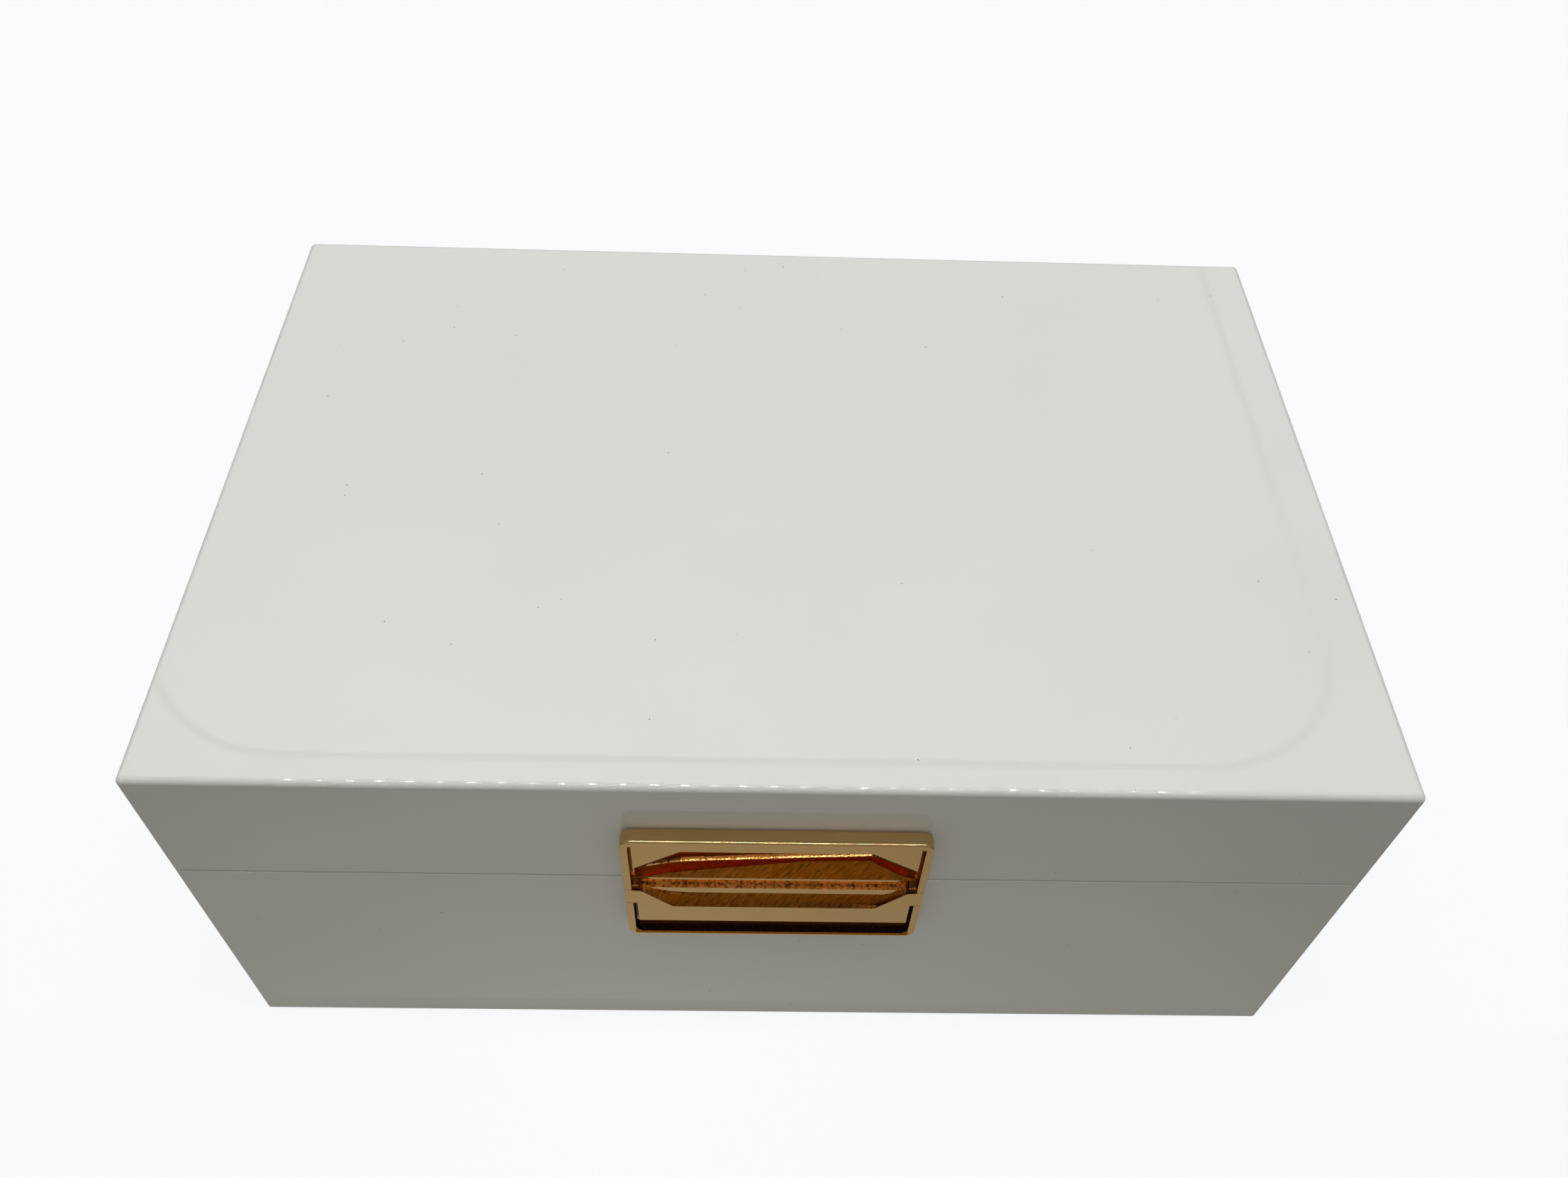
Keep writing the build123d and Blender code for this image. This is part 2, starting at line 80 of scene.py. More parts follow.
def place(tree, scale=(1.0, 1.0, 1.0)):
    """Where a point is on the object, in metres, stretched by scale."""
    at = add(tree, "ShaderNodeTexCoord").outputs["Object"]
    return add(tree, "ShaderNodeMapping", {"Vector": at, "Scale": scale}).outputs["Vector"]


def per_mm(size):
    """The texture scale whose features are size millimetres across."""
    return 1.0 / (size * MM)


def two_tone(tree, share, low, high):
    """A colour between two, by a share from 0 to 1."""
    made = add(tree, "ShaderNodeMix", {"Factor": share}, data_type="RGBA")
    made.inputs[6].default_value = linear(low)
    made.inputs[7].default_value = linear(high)
    return made.outputs[2]


def bump(tree, shader, height, size_mm):
    """Raises the surface by height, where 1 stands for size_mm."""
    raised = add(tree, "ShaderNodeBump", {"Height": height, "Distance": size_mm * MM})
    tree.links.new(raised.outputs["Normal"], shader.inputs["Normal"])


def dress(names, material):
    """Gives CAD nodes their material."""
    for name in names:
        for holder in nodes[name].material_slots:
            holder.material = material


def white_lacquer():
    """Polyester lacquer, buffed: a deep gloss over a white that is a little uneven in thickness.

    A faint orange peel is left from the spray, and a few dust nibs are caught in the last coat.
    """
    made, tree, shader = new_finish("white polyester lacquer, buffed", Roughness=0.012, IOR=1.54)
    clouds = add(tree, "ShaderNodeTexNoise", {"Vector": place(tree), "Scale": per_mm(45), "Detail": 3.0})
    white = two_tone(tree, clouds.outputs["Fac"], "#e2e3df", "#e8e9e6")
    cell_mm = 5.0
    nib_radius_mm = 0.155
    cells_with_nib = 0.35
    cells = add(tree, "ShaderNodeTexVoronoi", {"Vector": place(tree), "Scale": per_mm(cell_mm)})
    near = {0: cells.outputs["Distance"], 1: nib_radius_mm / cell_mm}
    near = add(tree, "ShaderNodeMath", near, operation="LESS_THAN")
    pick = add(tree, "ShaderNodeSeparateColor", {"Color": cells.outputs["Color"]})
    few = {0: pick.outputs["Red"], 1: cells_with_nib}
    few = add(tree, "ShaderNodeMath", few, operation="LESS_THAN")
    nib = add(tree, "ShaderNodeMath", {0: near.outputs[0], 1: few.outputs[0]}, operation="MULTIPLY")
    colour = {"Factor": nib.outputs[0], 6: white, 7: linear("#7d7c78")}
    colour = add(tree, "ShaderNodeMix", colour, data_type="RGBA")
    tree.links.new(colour.outputs[2], shader.inputs["Base Color"])
    peel = add(tree, "ShaderNodeTexNoise", {"Vector": place(tree), "Scale": per_mm(4), "Detail": 1.0})
    bump(tree, shader, peel.outputs["Fac"], 0.002)
    return made


dress(["base_shell", "lid_shell"], white_lacquer())


# Bottom board and foot pad: bare MDF let into a rebate in the walls, and under it a sheet of suede
# paper, glued on and trimmed just inside the walls, so that the box doesn't scratch a table.

def bare_mdf():
    """Sawn MDF: a dull brown felt of wood fibre, with no grain."""
    made, tree, shader = new_finish("MDF, bare", Roughness=0.85)
    fibre = add(tree, "ShaderNodeTexNoise", {"Vector": place(tree), "Scale": per_mm(0.8), "Detail": 6.0})
    tree.links.new(two_tone(tree, fibre.outputs["Fac"], "#9b7f58", "#b79a70"), shader.inputs["Base Color"])
    bump(tree, shader, fibre.outputs["Fac"], 0.03)
    return made


def napped(name, dark, light, nap_mm=0.5, deep_mm=0.06):
    """Flock, felt or suede paper: short fibres that scatter light and are paler seen along them.

    One fibre is too fine to show, so the nap is drawn in tufts of nap_mm. It lies in patches, as it
    does where a hand has brushed over it.
    """
    made, tree, shader = new_finish(name, Roughness=0.95, Sheen_Weight=0.3, Sheen_Roughness=0.5)
    nap = add(tree, "ShaderNodeTexNoise", {"Vector": place(tree), "Scale": per_mm(nap_mm), "Detail": 4.0})
    patch = add(tree, "ShaderNodeTexNoise", {"Vector": place(tree), "Scale": per_mm(14), "Detail": 3.0})
    both = {0: nap.outputs["Fac"], 1: patch.outputs["Fac"]}
    both = add(tree, "ShaderNodeMath", both, operation="MULTIPLY")
    share = add(tree, "ShaderNodeMapRange", {"Value": both.outputs[0], "From Min": 0.12, "From Max": 0.42})
    tree.links.new(two_tone(tree, share.outputs[0], dark, light), shader.inputs["Base Color"])
    bump(tree, shader, nap.outputs["Fac"], deep_mm)
    return made


dress(["base_bottom"], bare_mdf())
dress(["base_foot_pad"], napped("suede paper, charcoal", "#2b2928", "#43403d"))


# Linings: grey board covered with cream flock, cut, folded and glued into the base and the lid. The
# base's lining stands above the rim and locates the lid. Ledges glued to it carry the tray.

dress(
    [
        "base_lining_floor", "base_lining_sides", "tray_ledges",
        "well_divider_long", "well_divider_cross", "lid_lining", "lid_mirror_frame",
    ],
    napped("flocked board, cream", "#c3b6a2", "#dbd0be"),
)


# Mirror: 2 mm float glass, silvered on its back and held under the padded frame in the lid.

def silvered_glass():
    """A clean mirror: the faint green of float glass, with a trace of haze left by wiping."""
    made, tree, shader = new_finish("float glass, silvered", Metallic=1.0)
    haze = add(tree, "ShaderNodeTexNoise", {"Vector": place(tree), "Scale": per_mm(30), "Detail": 4.0})
    rough = add(tree, "ShaderNodeMapRange", {"Value": haze.outputs["Fac"], "To Min": 0.004, "To Max": 0.03})
    tree.links.new(rough.outputs[0], shader.inputs["Roughness"])
    tree.links.new(two_tone(tree, haze.outputs["Fac"], "#e2eae6", "#edf2f0"), shader.inputs["Base Color"])
    return made


dress(["lid_mirror"], silvered_glass())


# Hinges and catches: stamped brass leaves with rolled knuckles, drawn steel pins, slotted brass
# screws, and nickelled magnets pressed into the front rims, which hold the lid down.

def worked_metal(name, low, high, roughness, along, line_mm, deep_mm):
    """Metal with fine lines along the way it was drawn or polished, and a little uneven tarnish.

    The real lines are finer than line_mm and wouldn't show, so they are drawn that coarse.
    """
    made, tree, shader = new_finish(name, Metallic=1.0)
    stretch = [0.03 if axis in along else 1.0 for axis in "XYZ"]
    along_lines = place(tree, stretch)
    lines = add(tree, "ShaderNodeTexNoise", {"Vector": along_lines, "Scale": per_mm(line_mm)})
    stain = add(tree, "ShaderNodeTexNoise", {"Vector": place(tree), "Scale": per_mm(6), "Detail": 4.0})
    both = {0: lines.outputs["Fac"], 1: stain.outputs["Fac"]}
    both = add(tree, "ShaderNodeMath", both, operation="MULTIPLY")
    share = add(tree, "ShaderNodeMapRange", {"Value": both.outputs[0], "From Min": 0.1, "From Max": 0.45})
    tree.links.new(two_tone(tree, share.outputs[0], low, high), shader.inputs["Base Color"])
    ends = {"To Min": roughness * 0.7, "To Max": roughness * 1.4}
    rough = add(tree, "ShaderNodeMapRange", {"Value": stain.outputs["Fac"], **ends})
    tree.links.new(rough.outputs[0], shader.inputs["Roughness"])
    bump(tree, shader, lines.outputs["Fac"], deep_mm)
    return made


dress(
    ["hinge_base_leaves", "hinge_lid_leaves", "hinge_base_screws", "hinge_lid_screws", "clasp_nuts"],
    worked_metal("brass, polished", "#b98c45", "#dcb469", 0.2, "X", 0.35, 0.004),
)
dress(["hinge_pins"], worked_metal("steel wire, drawn", "#8f8f90", "#c4c4c5", 0.25, "X", 0.2, 0.003))
dress(
    ["base_magnets", "lid_magnets"],
    worked_metal("nickel plate", "#a9a7a2", "#d2d0cb", 0.16, "XY", 0.8, 0.002),
)


# Clasp: a frame and a pull tab, cast in zinc and plated with gold. Studs cast on the frame hold it
# to the lid, half a millimetre clear of the lacquer, and pins carry the tab. Its faces are polished
# on a wheel, which doesn't reach the hollows: they stay as they were brushed, and deeper in colour.

def gilt():
    """Gold plate: mirror-smooth on the faces, and brushed, rougher and redder in the hollows.

    The ridge in the upper hollow is pitted, and painted pale in specks as a painted highlight. Brushed
    gold is painted paler where it faces up, and darker low down, round the pins and behind the ridge:
    painted light and painted shade, which stand in for the shade that the clasp would cast on itself.
    """
    made, tree, shader = new_finish("zinc casting, gilt", Metallic=1.0)
    low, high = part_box("clasp_frame")
    middle_z = (low.z + high.z) / 2
    at = add(tree, "ShaderNodeTexCoord")
    spot = add(tree, "ShaderNodeSeparateXYZ", {"Vector": at.outputs["Object"]})
    facing = add(tree, "ShaderNodeSeparateXYZ", {"Vector": at.outputs["Normal"]})
    x, y, z = spot.outputs
    facing_y, facing_z = facing.outputs[1:]
    half_width = 28.6 * MM
    half_height = 17.9 * MM
    pin_out = 26.4 * MM
    pin_radius = 2.1 * MM
    straight_forward = -0.9988

    # A hollow is what lies inside the outline and doesn't face straight forward, and the bottom bar.
    sides = add(tree, "ShaderNodeMath", {0: x, 1: 0.0, 2: half_width}, operation="COMPARE")
    upright = {0: z, 1: middle_z - 1.2 * MM, 2: half_height}
    upright = add(tree, "ShaderNodeMath", upright, operation="COMPARE")
    inside = {0: sides.outputs[0], 1: upright.outputs[0]}
    inside = add(tree, "ShaderNodeMath", inside, operation="MULTIPLY")
    turned = add(tree, "ShaderNodeMath", {0: facing_y, 1: straight_forward}, operation="GREATER_THAN")
    bar = add(tree, "ShaderNodeMath", {0: z, 1: middle_z - 17.2 * MM}, operation="LESS_THAN")
    unpolished = {0: turned.outputs[0], 1: bar.outputs[0]}
    unpolished = add(tree, "ShaderNodeMath", unpolished, operation="MAXIMUM")
    hollow = {0: inside.outputs[0], 1: unpolished.outputs[0]}
    hollow = add(tree, "ShaderNodeMath", hollow, operation="MULTIPLY")

    # Brush marks run aslant. Real ones are finer than 0.5 mm and wouldn't show.
    turn = {"Vector": at.outputs["Object"], "Rotation": (0.0, 0.5, 0.0), "Scale": (1.0, 2.0, 5.0)}
    brush_way = add(tree, "ShaderNodeMapping", turn, vector_type="TEXTURE")
    lines = add(tree, "ShaderNodeTexNoise", {
        "Vector": brush_way.outputs[0], "Scale": per_mm(0.5), "Detail": 3.0, "Distortion": 0.4})
    strokes = add(tree, "ShaderNodeMapRange", {
        "Value": lines.outputs["Fac"], "From Min": 0.3, "From Max": 0.7, "To Min": 0.1, "To Max": 0.95})
    grain = add(tree, "ShaderNodeTexNoise", {"Vector": place(tree), "Scale": per_mm(0.3), "Detail": 4.0})
    wear = add(tree, "ShaderNodeTexNoise", {"Vector": place(tree), "Scale": per_mm(9), "Detail": 4.0})

    # Brushed gold is painted paler where it faces up, and palest on level faces: painted light from above,
    # which stands in for the shade that the rim would cast on the rest.
    upward = add(tree, "ShaderNodeMapRange", {
        "Value": facing_z, "From Min": -0.22, "From Max": 0.03, "To Min": 0.2})
    level = add(tree, "ShaderNodeMath", {0: facing_z, 1: 0.6}, operation="GREATER_THAN")
    painted_light_from_above = {0: level.outputs[0], 1: 0.9, 2: upward.outputs[0]}
    painted_light_from_above = add(tree, "ShaderNodeMath", painted_light_from_above, operation="MULTIPLY_ADD")
    bright = {0: painted_light_from_above.outputs[0], 1: strokes.outputs[0]}
    bright = add(tree, "ShaderNodeMath", bright, operation="MULTIPLY")
    brushed_gold_painted_light = two_tone(tree, bright.outputs[0], "#6a4a1c", "#c67834")

    # Shade: low down, round the pins, and on the ledge behind the ridge.
    above_bar = add(tree, "ShaderNodeMapRange", {
        "Value": z, "From Min": middle_z - 16.5 * MM, "From Max": middle_z - 1.0 * MM})
    out_x = add(tree, "ShaderNodeMath", {0: x}, operation="ABSOLUTE")
    at_ends = add(tree, "ShaderNodeMath", {0: out_x.outputs[0], 1: pin_out}, operation="GREATER_THAN")
    pin_level = {0: z, 1: middle_z - 0.5 * MM, 2: pin_radius}
    pin_level = add(tree, "ShaderNodeMath", pin_level, operation="COMPARE")
    pins = {0: at_ends.outputs[0], 1: pin_level.outputs[0]}
    pins = add(tree, "ShaderNodeMath", pins, operation="MULTIPLY")
    past_pins = {0: pins.outputs[0], 1: -0.75, 2: above_bar.outputs[0]}
    past_pins = add(tree, "ShaderNodeMath", past_pins, operation="MULTIPLY_ADD")
    upper = add(tree, "ShaderNodeMath", {0: z, 1: middle_z + 5.0 * MM}, operation="GREATER_THAN")
    ledge = {0: upper.outputs[0], 1: level.outputs[0]}
    ledge = add(tree, "ShaderNodeMath", ledge, operation="MULTIPLY")
    in_light = {0: ledge.outputs[0], 1: -0.7, 2: past_pins.outputs[0]}
    in_light = add(tree, "ShaderNodeMath", in_light, operation="MULTIPLY_ADD", use_clamp=True)
    shaded_gold = two_tone(tree, turned.outputs[0], "#a8743a", "#22120a")
    brushed = {"Factor": in_light.outputs[0], 6: shaded_gold, 7: brushed_gold_painted_light}
    brushed = add(tree, "ShaderNodeMix", brushed, data_type="RGBA")

    # The ridge: the ledge's front edge, painted pale in specks, a painted highlight that stands in for the
    # glints of the lamps along it.
    front = add(tree, "ShaderNodeMath", {0: y, 1: low.y + 1.25 * MM}, operation="LESS_THAN")
    ridge = {0: ledge.outputs[0], 1: front.outputs[0]}
    ridge = add(tree, "ShaderNodeMath", ridge, operation="MULTIPLY")
    glitter = add(tree, "ShaderNodeMapRange", {
        "Value": grain.outputs["Fac"], "From Min": 0.42, "From Max": 0.6})
    painted_ridge_glint = two_tone(tree, glitter.outputs[0], "#8a4c12", "#ffd98a")
    deep = {"Factor": ridge.outputs[0], 6: brushed.outputs[2], 7: painted_ridge_glint}
    deep = add(tree, "ShaderNodeMix", deep, data_type="RGBA")

    face = two_tone(tree, wear.outputs["Fac"], "#d8b173", "#dfbc84")
    colour = {"Factor": hollow.outputs[0], 6: face, 7: deep.outputs[2]}
    colour = add(tree, "ShaderNodeMix", colour, data_type="RGBA")
    tree.links.new(colour.outputs[2], shader.inputs["Base Color"])
    edge = two_tone(tree, hollow.outputs[0], "#ffffff", "#c08a50")
    tree.links.new(edge, shader.inputs["Specular Tint"])

    dull = add(tree, "ShaderNodeMapRange", {"Value": strokes.outputs[0], "To Min": 0.2, "To Max": 0.45})
    smooth = add(tree, "ShaderNodeMapRange", {
        "Value": wear.outputs["Fac"], "To Min": 0.05, "To Max": 0.14})
    rough = {0: hollow.outputs[0], 2: smooth.outputs[0], 3: dull.outputs[0]}
    rough = add(tree, "ShaderNodeMix", rough)
    tree.links.new(rough.outputs[0], shader.inputs["Roughness"])

    furrows = {0: strokes.outputs[0], 1: hollow.outputs[0]}
    furrows = add(tree, "ShaderNodeMath", furrows, operation="MULTIPLY")
    fine = add(tree, "ShaderNodeMath", {0: grain.outputs["Fac"], 1: 0.12}, operation="MULTIPLY")
    both = {0: furrows.outputs[0], 1: fine.outputs[0]}
    both = add(tree, "ShaderNodeMath", both, operation="ADD")
    pits = {0: grain.outputs["Fac"], 1: ridge.outputs[0]}
    pits = add(tree, "ShaderNodeMath", pits, operation="MULTIPLY")
    marks = {0: both.outputs[0], 1: pits.outputs[0]}
    marks = add(tree, "ShaderNodeMath", marks, operation="ADD")
    bump(tree, shader, marks.outputs[0], 0.02)
    return made


dress(["clasp_frame", "clasp_tab", "clasp_pins"], gilt())
# The rest pad is black felt. Its near-black colour is also painted shade for the slot behind the tab.
dress(["clasp_rest_pad"], napped("felt, black, darkened as painted shade", "#040404", "#0d0d0d", 0.4, 0.1))

# Many lamps light a real room, and some of them reach into the hollows. The few here would leave
# them black, so the clasp's frame and tab cast no shadow.
for name in ("clasp_frame", "clasp_tab"):
    nodes[name].visible_shadow = False


# Tray: a lift-out tray of flocked board on the ledges, with dividers glued in and the left part left
# open for rings. It has the same cream flock, but the pile is finer.

dress(
    ["tray_shell", "tray_divider_main", "tray_divider_long", "tray_divider_short"],
    napped("flocked board, fine, cream", "#c8bba8", "#ded4c4", 0.4, 0.05),
)


# Ring rolls: six rolls of foam, each wrapped in velvet that is glued along its underside and tucked
# in at the ends. They lie side by side, and rings are held in the clefts between them.

def velvet():
    """Velvet: an upright pile with dark depths and a pale sheen where it is seen along the fibres.

    One fibre is too fine to show, so the pile is drawn in tufts of half a millimetre.
    """
    made, tree, shader = new_finish("velvet, cream", Roughness=0.9, Sheen_Weight=0.8, Sheen_Roughness=0.35)
    pile = add(tree, "ShaderNodeTexNoise", {"Vector": place(tree), "Scale": per_mm(0.45), "Detail": 3.0})
    crush = add(tree, "ShaderNodeTexNoise", {
        "Vector": place(tree, (0.5, 1.0, 1.0)), "Scale": per_mm(9), "Detail": 3.0, "Distortion": 0.8})
    both = {0: pile.outputs["Fac"], 1: crush.outputs["Fac"]}
    both = add(tree, "ShaderNodeMath", both, operation="MULTIPLY")
    share = add(tree, "ShaderNodeMapRange", {"Value": both.outputs[0], "From Min": 0.12, "From Max": 0.42})
    tree.links.new(two_tone(tree, share.outputs[0], "#b3a48e", "#e2d7c6"), shader.inputs["Base Color"])
    bump(tree, shader, pile.outputs["Fac"], 0.12)
    return made


def swollen_roll(source, swell):
    """A roll's mesh: the CAD solid made smaller by swell, then filled out again by cloth pressure."""
    low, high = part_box(source)
    middle = (low + high) / 2
    half = (high - low) / 2
    mesh = nodes[source].data.copy()
    piece = bpy.data.objects.new("roll_pattern", mesh)
    bpy.context.scene.collection.objects.link(piece)
    bpy.context.view_layer.objects.active = piece
    for vertex in mesh.vertices:
        away = vertex.co - middle
        vertex.co = middle + Vector([away[i] * (half[i] - swell) / half[i] for i in range(3)])
    even = piece.modifiers.new("even", "REMESH")
    even.mode = "VOXEL"
    even.voxel_size = 3.0 * MM
    bpy.ops.object.modifier_apply(modifier=even.name)
    start = [vertex.co.copy() for vertex in piece.data.vertices]
    cloth = piece.modifiers.new("foam", "CLOTH")
    cloth.settings.use_pressure = True
    cloth.settings.uniform_pressure_force = 4.0
    cloth.settings.effector_weights.gravity = 0.0
    cloth.point_cache.frame_start = 1
    cloth.point_cache.frame_end = 20
    for step in range(1, 21):
        bpy.context.scene.frame_set(step)
    bpy.ops.object.modifier_apply(modifier=cloth.name)
    bpy.context.scene.frame_set(1)
    for vertex, before in zip(piece.data.vertices, start):
        move = vertex.co - before
        if move.length > swell:
            vertex.co = before + move * (swell / move.length)
    finer = piece.modifiers.new("finer", "SUBSURF")
    finer.levels = 1
    bpy.ops.object.modifier_apply(modifier=finer.name)
    made = piece.data
    bpy.data.objects.remove(piece)
    return made


def tuck(mesh, low, high, seed):
    """Draws the velvet in at both ends in small folds, and lets the top lie a little unevenly."""
    middle = (low + high) / 2
    gathered = 6.0 * MM
    folds = 9
    sag = Vector((0, 0, 0.9 * MM))
    dents_per_metre = 60
    for vertex in mesh.vertices:
        at = vertex.co
        end = max(1.0 - min(at.x - low.x, high.x - at.x) / gathered, 0.0)
        inward = Vector((0.0, middle.y - at.y, middle.z - at.z)).normalized()
        fold = 0.6 + 0.25 * math.sin(folds * math.atan2(-inward.z, -inward.y) + seed)
        top = max(at.z - middle.z, 0.0) / (high.z - middle.z)
        spot = Vector((at.x * dents_per_metre, at.y * dents_per_metre, seed * 3.1))
        dent = max(noise.noise(spot), 0.0)
        vertex.co = at + inward * end * end * fold * MM - sag * dent * top
        for axis in range(3):
            vertex.co[axis] = min(max(vertex.co[axis], low[axis]), high[axis])


def make_rolls():
    """Six rolls from one pattern: every second one is turned round, and each has its own dents."""
    names = sorted(name for name in nodes if name.startswith("ring_roll_"))
    pattern = swollen_roll(names[0], 1.0 * MM)
    start_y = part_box(names[0])[0].y
    pile = velvet()
    for number, name in enumerate(names):
        low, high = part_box(name)
        mesh = pattern.copy()
        for vertex in mesh.vertices:
            vertex.co.y += low.y - start_y
            if number % 2:
                vertex.co.x = low.x + high.x - vertex.co.x
        if number % 2:
            mesh.flip_normals()
        tuck(mesh, low, high, float(number))
        for face in mesh.polygons:
            face.use_smooth = True
        mesh.materials.clear()
        mesh.materials.append(pile)
        piece = bpy.data.objects.new(name + "_velvet", mesh)
        bpy.context.scene.collection.objects.link(piece)
        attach(piece, "tray")
        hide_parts(name)


make_rolls()


# Pulls: two satin ribbons, 15 mm wide, glued inside the tray's front and back walls and turned over
# the rim, so that the tray can be lifted out. They are cut from the reel and their ends are sealed.

def satin():
    """Satin ribbon: warp threads along it give a soft sheen that runs one way.

    A wave of 0.5 mm puts them 0.16 mm apart, as its bands are 0.31 of its size.
    """
    made, tree, shader = new_finish("satin ribbon, gold", Roughness=0.38, Sheen_Weight=0.4, Anisotropic=0.6)
    warp = add(tree, "ShaderNodeTexWave", {"Vector": place(tree), "Scale": per_mm(0.5), "Distortion": 0.6})
    patch = add(tree, "ShaderNodeTexNoise", {"Vector": place(tree), "Scale": per_mm(5), "Detail": 3.0})
    both = {0: warp.outputs["Fac"], 1: patch.outputs["Fac"]}
    both = add(tree, "ShaderNodeMath", both, operation="MULTIPLY")
    tree.links.new(two_tone(tree, both.outputs[0], "#b08d50", "#dcc18a"), shader.inputs["Base Color"])
    bump(tree, shader, warp.outputs["Fac"], 0.02)
    return made


def pull(side, weave):
    """One ribbon, at the front wall when side is -1 and at the back when it is 1."""
    low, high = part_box("tray_ribbons")
    bend = 0.2 * MM
    thick = 0.35 * MM
    slack = 0.12 * MM
    wall_and_glue = 3.1 * MM
    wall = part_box("tray_shell")[1].y - wall_and_glue
    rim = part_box("tray_shell")[1].z + 0.05 * MM
    path = [(wall, low.z + (rim - bend - low.z) * i / 14) for i in range(15)]
    for i in range(1, 7):
        angle = math.pi / 2 * i / 6
        path.append((wall + bend - bend * math.cos(angle), rim - bend + bend * math.sin(angle)))
    path += [(wall + bend + (high.y - wall - bend) * i / 3, rim) for i in range(1, 4)]
    across = 12
    cloth = bmesh.new()
    rows = []
    for number, (y, z) in enumerate(path):
        row = []
        for i in range(across + 1):
            ripple = 1 + math.sin(5 * i / across + 2 * side)
            ease = slack * max(0.0, 1.0 - number / 12) * ripple
            row.append(cloth.verts.new((low.x + (high.x - low.x) * i / across, side * (y - ease), z)))
        rows.append(row)
    for first, second in zip(rows, rows[1:]):
        for i in range(across):
            corners = (first[i], first[i + 1], second[i + 1], second[i])
            cloth.faces.new(corners if side > 0 else corners[::-1])
    mesh = bpy.data.meshes.new("ribbon")
    cloth.to_mesh(mesh)
    cloth.free()
    for face in mesh.polygons:
        face.use_smooth = True
    mesh.materials.append(weave)
    piece = bpy.data.objects.new("tray_pull_" + ("front" if side < 0 else "back"), mesh)
    bpy.context.scene.collection.objects.link(piece)
    body = piece.modifiers.new("thickness", "SOLIDIFY")
    body.thickness = thick
    body.offset = 1.0
    bpy.context.view_layer.objects.active = piece
    bpy.ops.object.modifier_apply(modifier=body.name)
    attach(piece, "tray")
    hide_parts("tray_ribbons")


ribbon_weave = satin()
for side in (-1, 1):
    pull(side, ribbon_weave)


# Floor: a plain pale sheet that glows by itself, so that the box's shadow stays faint. It doesn't
# light the box.

def make_floor():
    made, tree, shader = new_finish("pale sheet", Roughness=0.9)
    mottle = add(tree, "ShaderNodeTexNoise", {"Vector": place(tree), "Scale": per_mm(300)})
    tree.links.new(two_tone(tree, mottle.outputs["Fac"], "#4e4f50", "#505152"), shader.inputs["Base Color"])
    shader.inputs["Emission Color"].default_value = linear("#f7f8fa")
    shader.inputs["Emission Strength"].default_value = 0.94
    half = 4.0
    corners = [(-half, -half, 0), (half, -half, 0), (half, half, 0), (-half, half, 0)]
    mesh = bpy.data.meshes.new("floor")
    mesh.from_pydata(corners, [], [(0, 1, 2, 3)])
    mesh.materials.append(made)
    floor = bpy.data.objects.new("floor", mesh)
    floor.visible_diffuse = False
    floor.visible_glossy = False
    floor.visible_shadow = False
    bpy.context.scene.collection.objects.link(floor)


make_floor()


# Light: a dim room, a wide panel let into the ceiling behind the box, whose dark rim shows faintly in
# the lid, a row of narrow lamps overhead, which show as glints along rounded edges, and the glow of
# the pale table in front.

def rounded(x, y, radius, z, steps=8):
    """The corner points of a rectangle with rounded corners at height z."""
    points = []
    for cx, cy, start in ((x[1], y[1], 0), (x[0], y[1], 90), (x[0], y[0], 180), (x[1], y[0], 270)):
        inward_x = cx - math.copysign(radius, cx - sum(x) / 2)
        inward_y = cy - math.copysign(radius, cy - sum(y) / 2)
        for i in range(steps + 1):
            turn = math.radians(start + 90 * i / steps)
            points.append((inward_x + radius * math.cos(turn), inward_y + radius * math.sin(turn), z))
    return points


def glow(name, tint, dim, bright=None, middle=(0.0, 0.0), reach=(1.0, 1.0)):
    """A light as strong as dim all over, or brighter at middle and fading to dim at reach.

    middle and reach are in metres along X and Y.
    """
    made = bpy.data.materials.new(name)
    made.use_nodes = True
    tree = made.node_tree
    tree.nodes.clear()
    at = add(tree, "ShaderNodeTexCoord").outputs["Object"]
    shift = [-middle[i] / reach[i] for i in range(2)] + [0.0]
    scale = [1 / reach[0], 1 / reach[1], 0.0]
    near = add(tree, "ShaderNodeMapping", {"Vector": at, "Location": shift, "Scale": scale})
    ball = add(tree, "ShaderNodeTexGradient", {"Vector": near.outputs[0]}, gradient_type="SPHERICAL")
    ends = {"To Min": dim, "To Max": dim if bright is None else bright}
    power = add(tree, "ShaderNodeMapRange", {"Value": ball.outputs["Fac"], **ends})
    light = add(tree, "ShaderNodeEmission", {"Color": linear(tint), "Strength": power.outputs[0]})
    add(tree, "ShaderNodeOutputMaterial", {"Surface": light.outputs[0]})
    return made


def lamp(name, outline, light):
    """A flat lamp that the camera doesn't see."""
    mesh = bpy.data.meshes.new(name)
    mesh.from_pydata(outline, [], [list(range(len(outline)))])
    mesh.materials.append(light)
    made = bpy.data.objects.new(name, mesh)
    made.visible_camera = False
    made.visible_shadow = False
    bpy.context.scene.collection.objects.link(made)


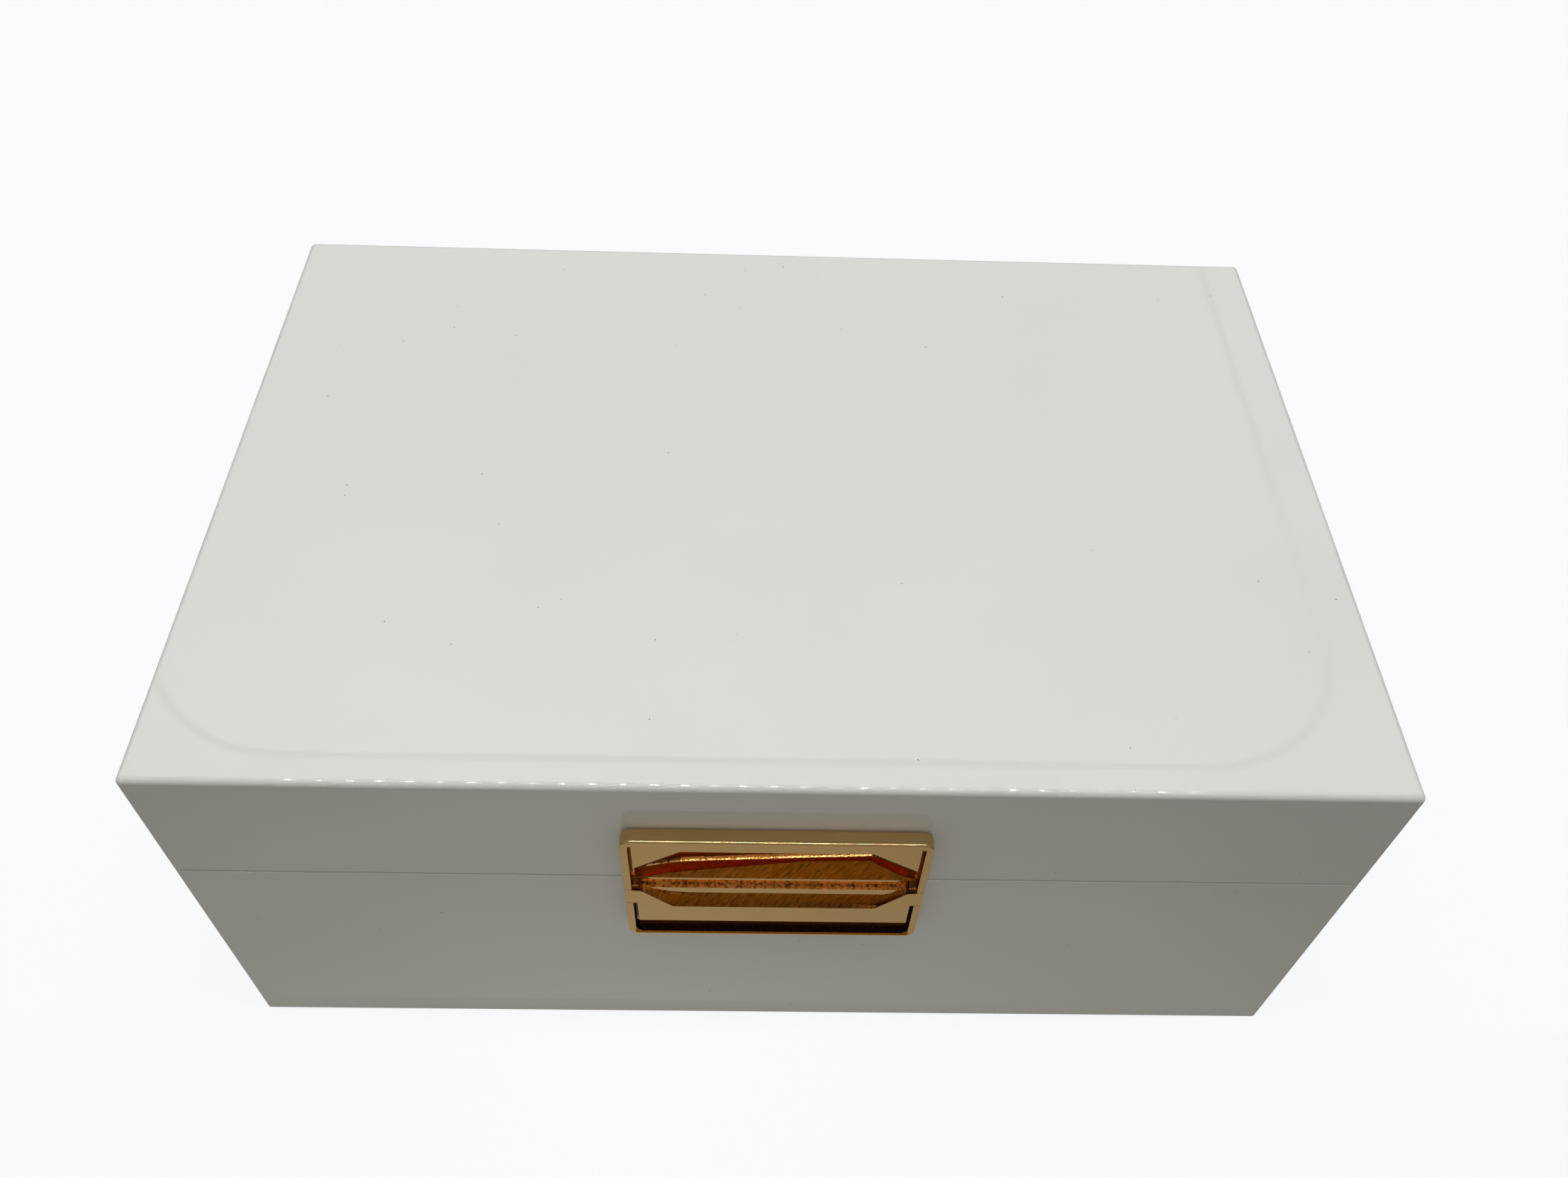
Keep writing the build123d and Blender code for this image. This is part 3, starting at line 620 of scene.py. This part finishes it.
panel_light = glow("panel", "#fdfeff", 0.85, 1.6, (-0.2, 0.6), (1.2, 0.5))
lamp("ceiling_panel", rounded((-0.72, 0.715), (0.615, 2.0), 0.18, 1.2), panel_light)
rim_light = glow("panel rim", "#fdfeff", 0.4)
lamp("panel_rim", rounded((-0.732, 0.727), (0.606, 2.01), 0.19, 1.201), rim_light)
ceiling_light = glow("ceiling", "#fdfeff", 0.85, 1.5, (-0.2, 0.6), (1.2, 0.5))
lamp("ceiling_around", rounded((-1.0, 1.0), (0.556, 2.2), 0.02, 1.202), ceiling_light)
table_light = glow("table", "#fffaec", 0.15, 0.42, (-0.03, -0.09), (0.27, 0.3))
lamp("table_in_front", rounded((-1.5, 1.5), (-1.5, -0.083), 0.05, 0.0005), table_light)
strip_light = glow("lamp", "#fffdfb", 128.0)
strip_spacing = 0.037
half_strip = 0.004
for i in range(-15, 16):
    middle_x = i * strip_spacing - 0.006
    outline = rounded((middle_x - half_strip, middle_x + half_strip), (-0.19, -0.09), 0.003, 1.5, 2)
    lamp(f"strip_{i + 15}", outline, strip_light)


def make_room():
    """The light of the room by height, and the pale backdrop that the camera sees instead."""
    world = bpy.data.worlds.new("room")
    bpy.context.scene.world = world
    world.use_nodes = True
    room = world.node_tree
    room.nodes.clear()
    way = add(room, "ShaderNodeTexCoord").outputs["Generated"]
    height = add(room, "ShaderNodeSeparateXYZ", {"Vector": way}).outputs["Z"]
    share = add(room, "ShaderNodeMapRange", {"Value": height, "From Min": -1.0, "From Max": 1.0})
    shades = add(room, "ShaderNodeValToRGB", {"Fac": share.outputs[0]})
    stops = shades.color_ramp.elements
    stops[0].color = linear("#908e88")
    stops[1].color = linear("#959694")
    stops.new(0.5).color = linear("#858480")
    lit = add(room, "ShaderNodeBackground", {"Color": shades.outputs["Color"]})
    backdrop = add(room, "ShaderNodeBackground", {"Color": linear("#f7f8fa")})
    by_camera = add(room, "ShaderNodeLightPath").outputs["Is Camera Ray"]
    both = add(room, "ShaderNodeMixShader", {0: by_camera, 1: lit.outputs[0], 2: backdrop.outputs[0]})
    add(room, "ShaderNodeOutputWorld", {"Surface": both.outputs[0]})


make_room()


# Camera: above the front edge and a little left of the middle, looking down on the lid, and held
# not quite level.

def make_camera():
    azimuth, elevation, roll = (math.radians(angle) for angle in (-2.505, 50.51, 2.984))
    level = math.cos(elevation)
    back = Vector((math.sin(azimuth) * level, -math.cos(azimuth) * level, math.sin(elevation)))
    right = (-back).cross(Vector((0, 0, 1))).normalized()
    up = right.cross(-back)
    rolled_right = math.cos(roll) * right + math.sin(roll) * up
    rolled_up = math.cos(roll) * up - math.sin(roll) * right
    data = bpy.data.cameras.new("camera")
    data.sensor_width = 36.0
    data.lens = 30.276
    data.clip_start = 0.01
    camera = bpy.data.objects.new("camera", data)
    turned = Matrix((rolled_right, rolled_up, back)).transposed().to_4x4()
    camera.matrix_world = Matrix.Translation((-0.00657, -0.20417, 0.3138)) @ turned
    bpy.context.scene.collection.objects.link(camera)
    bpy.context.scene.camera = camera


make_camera()
bpy.context.scene.view_settings.view_transform = "Standard"
